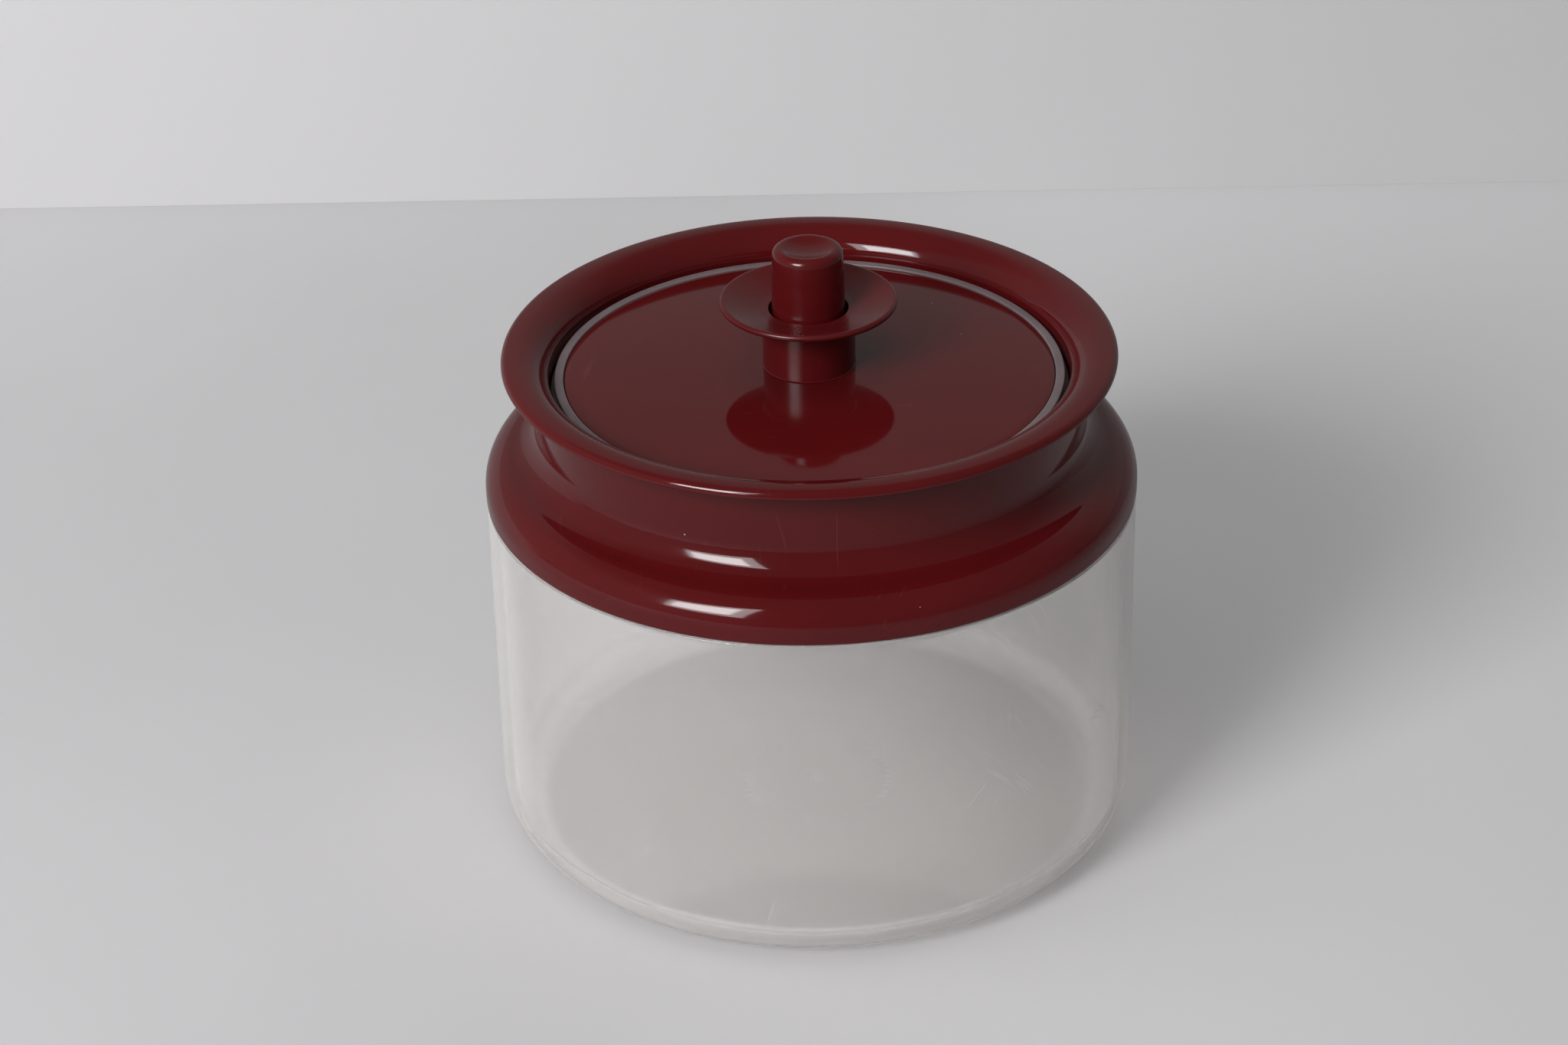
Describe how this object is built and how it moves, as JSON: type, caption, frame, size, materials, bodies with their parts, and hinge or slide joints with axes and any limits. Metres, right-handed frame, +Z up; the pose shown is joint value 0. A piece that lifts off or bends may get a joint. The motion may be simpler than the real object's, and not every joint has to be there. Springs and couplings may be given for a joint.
{
  "type": "cookie storage container",
  "caption": "Round clear jar with a waisted collar and flared lip, closed by a recessed lid with a saucer knob and a spring plunger that works its seal.",
  "frame": {"origin": "centre of the jar's base, on the plane it stands on", "axes": "+Z up along the axis of every turned piece; +X to the right and +Y away in the pictured view"},
  "size_m": [0.1904, 0.1904, 0.1812],
  "materials": {
    "clear_plastic": "clear polished moulding with fine use scratches",
    "burgundy_plastic": "glossy dark red moulding",
    "soft_rubber": "soft translucent grey elastomer",
    "bare_steel": "plain drawn steel"
  },
  "bodies": {
    "container": {"jar_body": "clear_plastic", "neck_collar": "burgundy_plastic"},
    "lid": {"lid_disc": "burgundy_plastic", "knob_tube": "burgundy_plastic", "gasket_ring": "soft_rubber", "return_spring": "bare_steel"},
    "plunger": {"plunger": "burgundy_plastic", "pressure_plate": "burgundy_plastic", "plate_screw": "bare_steel"}
  },
  "joints": [
    {"name": "lid_lift", "type": "slide", "parent": "container", "child": "lid", "axis": [0, 0, 1], "range_m": [0, 0.05]},
    {"name": "plunger_press", "type": "slide", "parent": "lid", "child": "plunger", "axis": [0, 0, -1], "range_m": [0, 0.004], "stiffness_N_per_m": 1500, "springref_m": -0.004, "deforming": ["return_spring", "gasket_ring"]}
  ]
}
